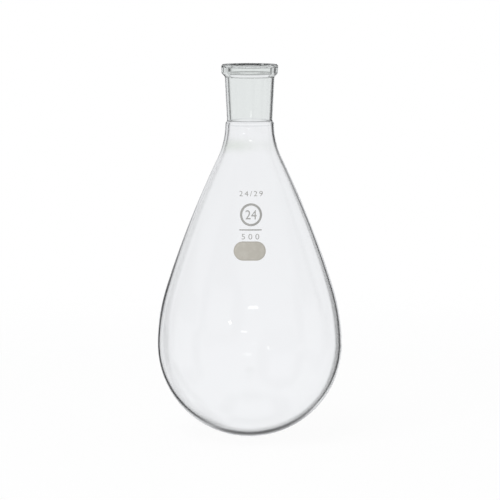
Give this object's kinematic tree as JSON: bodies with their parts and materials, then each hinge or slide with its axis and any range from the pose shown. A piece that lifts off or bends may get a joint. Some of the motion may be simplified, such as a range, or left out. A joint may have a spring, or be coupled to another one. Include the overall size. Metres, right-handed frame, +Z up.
{
  "type": "recovery flask",
  "caption": "Pear-shaped clear glass recovery flask with a round bottom, a short neck and a tapered ground socket with a beaded mouth, for boiling off and collecting liquids.",
  "frame": {"origin": "centre of the mouth of the ground socket, in the plane of the lip", "axes": "+Z up along the flask's axis and out of the mouth, -Y towards the side that carries the marking spot, +X to the right seen from that side"},
  "size_m": [0.0964, 0.0964, 0.1946],
  "materials": {
    "clear_glass": "polished",
    "fired_enamel": "matte"
  },
  "bodies": {
    "root": {"flask": "clear_glass", "marking_spot": "fired_enamel"}
  },
  "joints": []
}
